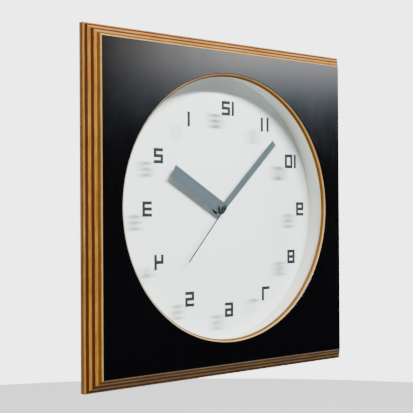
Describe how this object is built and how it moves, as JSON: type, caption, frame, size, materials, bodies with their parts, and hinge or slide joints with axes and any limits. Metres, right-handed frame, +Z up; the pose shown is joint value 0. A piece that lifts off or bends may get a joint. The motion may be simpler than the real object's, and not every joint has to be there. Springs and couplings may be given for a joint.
{
  "type": "wall clock",
  "caption": "Square wall clock with a bevelled plywood edge, black face, round glazed white dial, mirrored numerals and a quartz movement whose hands run anticlockwise.",
  "frame": {"origin": "centre of the hanger's round hole, in the plane of the wall, 156 mm above the dial's axis", "axes": "+Z up, the clock faces -Y, +Y points into the wall, +X to the right for a viewer in front"},
  "size_m": [0.34, 0.048, 0.34],
  "materials": {
    "plywood": "cut edges with light and dark plies, clear satin lacquer",
    "black_laminate": "smooth black decorative laminate with a soft gloss",
    "clear_glass": "flat clear glass",
    "white_foam": "white closed-cell foam strip",
    "slate_vinyl": "dark slate film",
    "white_moulding": "ivory white satin moulding",
    "white_dial": "matt cool white sheet",
    "zinc_steel": "zinc plated",
    "pine": "planed pine",
    "felt": "dense dark felt",
    "black_plastic": "fine grained black moulding",
    "black_rubber": "black rubber",
    "yellow_brass": "turned brass",
    "black_metal": "blackened steel",
    "natural_nylon": "natural nylon moulding",
    "battery_sleeve": "plain printed sleeve over a metal can",
    "spring_steel": "nickel plated spring strip",
    "green_board": "green solder resist",
    "black_resin": "black potting resin",
    "bright_can": "bright drawn can",
    "soft_iron": "stamped soft iron",
    "copper_wire": "enamelled copper wire",
    "magnet": "sintered magnet",
    "steel_arbor": "ground steel",
    "white_acetal": "white acetal",
    "amber_acetal": "amber acetal",
    "hand_grey": "blue grey anodised sheet"
  },
  "bodies": {
    "case": {"frame_board": "plywood", "face_laminate": "black_laminate", "cover_glass": "clear_glass", "glass_gasket": "white_foam", "numerals": "slate_vinyl", "dial_cup": "white_moulding", "dial_plate": "white_dial", "cup_screws": "zinc_steel", "dial_screws": "zinc_steel", "top_batten": "pine", "bottom_batten": "pine", "batten_screws": "zinc_steel", "hanger_plate": "zinc_steel", "hanger_screws": "zinc_steel", "wall_pads": "felt", "movement_case": "black_plastic", "movement_cover": "black_plastic", "movement_washer": "black_rubber", "nut_washer": "yellow_brass", "centre_nut": "black_metal", "train_bridge": "natural_nylon", "bridge_screws": "zinc_steel", "battery": "battery_sleeve", "battery_contact_plus": "spring_steel", "battery_contact_minus": "spring_steel", "circuit_board": "green_board", "control_chip": "black_resin", "quartz_crystal": "bright_can", "stator": "soft_iron", "coil_bobbin": "natural_nylon", "coil_winding": "copper_wire"},
    "second_hand": {"seconds_wheel": "white_acetal", "second_hand": "hand_grey"},
    "intermediate_wheel": {"intermediate_wheel": "white_acetal"},
    "rotor": {"rotor_magnet": "magnet", "rotor_pinion": "steel_arbor"},
    "third_wheel": {"third_wheel": "white_acetal"},
    "clutch_gear": {"clutch_gear": "amber_acetal"},
    "minute_hand": {"minute_arbor": "yellow_brass", "minute_hand": "hand_grey"},
    "motion_wheel": {"motion_wheel": "amber_acetal"},
    "hour_hand": {"hour_wheel": "amber_acetal", "hour_hand": "hand_grey"},
    "setting_knob": {"setting_knob": "black_plastic"}
  },
  "joints": [
    {"name": "seconds_turn", "type": "hinge", "parent": "case", "child": "second_hand", "pos_m": [0, -0.035, -0.156], "axis": [0, -1, 0], "continuous": true},
    {"name": "intermediate_turn", "type": "hinge", "parent": "case", "child": "intermediate_wheel", "pos_m": [-0.00558, -0.01, -0.14804], "axis": [0, -1, 0], "continuous": true},
    {"name": "rotor_turn", "type": "hinge", "parent": "case", "child": "rotor", "pos_m": [-0.0103, -0.01, -0.13985], "axis": [0, -1, 0], "continuous": true},
    {"name": "third_turn", "type": "hinge", "parent": "case", "child": "third_wheel", "pos_m": [0.00786, -0.01, -0.15049], "axis": [0, -1, 0], "continuous": true},
    {"name": "clutch_turn", "type": "hinge", "parent": "case", "child": "clutch_gear", "pos_m": [0, -0.0135, -0.156], "axis": [0, -1, 0], "continuous": true},
    {"name": "minute_turn", "type": "hinge", "parent": "case", "child": "minute_hand", "pos_m": [0, -0.032, -0.156], "axis": [0, -1, 0], "continuous": true},
    {"name": "motion_turn", "type": "hinge", "parent": "case", "child": "motion_wheel", "pos_m": [0.00614, -0.015, -0.1603], "axis": [0, -1, 0], "continuous": true},
    {"name": "hour_turn", "type": "hinge", "parent": "case", "child": "hour_hand", "pos_m": [0, -0.029, -0.156], "axis": [0, -1, 0], "continuous": true},
    {"name": "setting_turn", "type": "hinge", "parent": "case", "child": "setting_knob", "pos_m": [0.01362, -0.002, -0.16096], "axis": [0, -1, 0], "continuous": true}
  ],
  "couplings": [
    {"joint": "intermediate_turn", "follows": "seconds_turn", "ratio": -5},
    {"joint": "rotor_turn", "follows": "seconds_turn", "ratio": 30},
    {"joint": "third_turn", "follows": "seconds_turn", "ratio": -0.13333},
    {"joint": "clutch_turn", "follows": "seconds_turn", "ratio": 0.016667},
    {"joint": "motion_turn", "follows": "minute_turn", "ratio": -0.33333},
    {"joint": "hour_turn", "follows": "minute_turn", "ratio": 0.083333},
    {"joint": "setting_turn", "follows": "minute_turn", "ratio": 1}
  ]
}
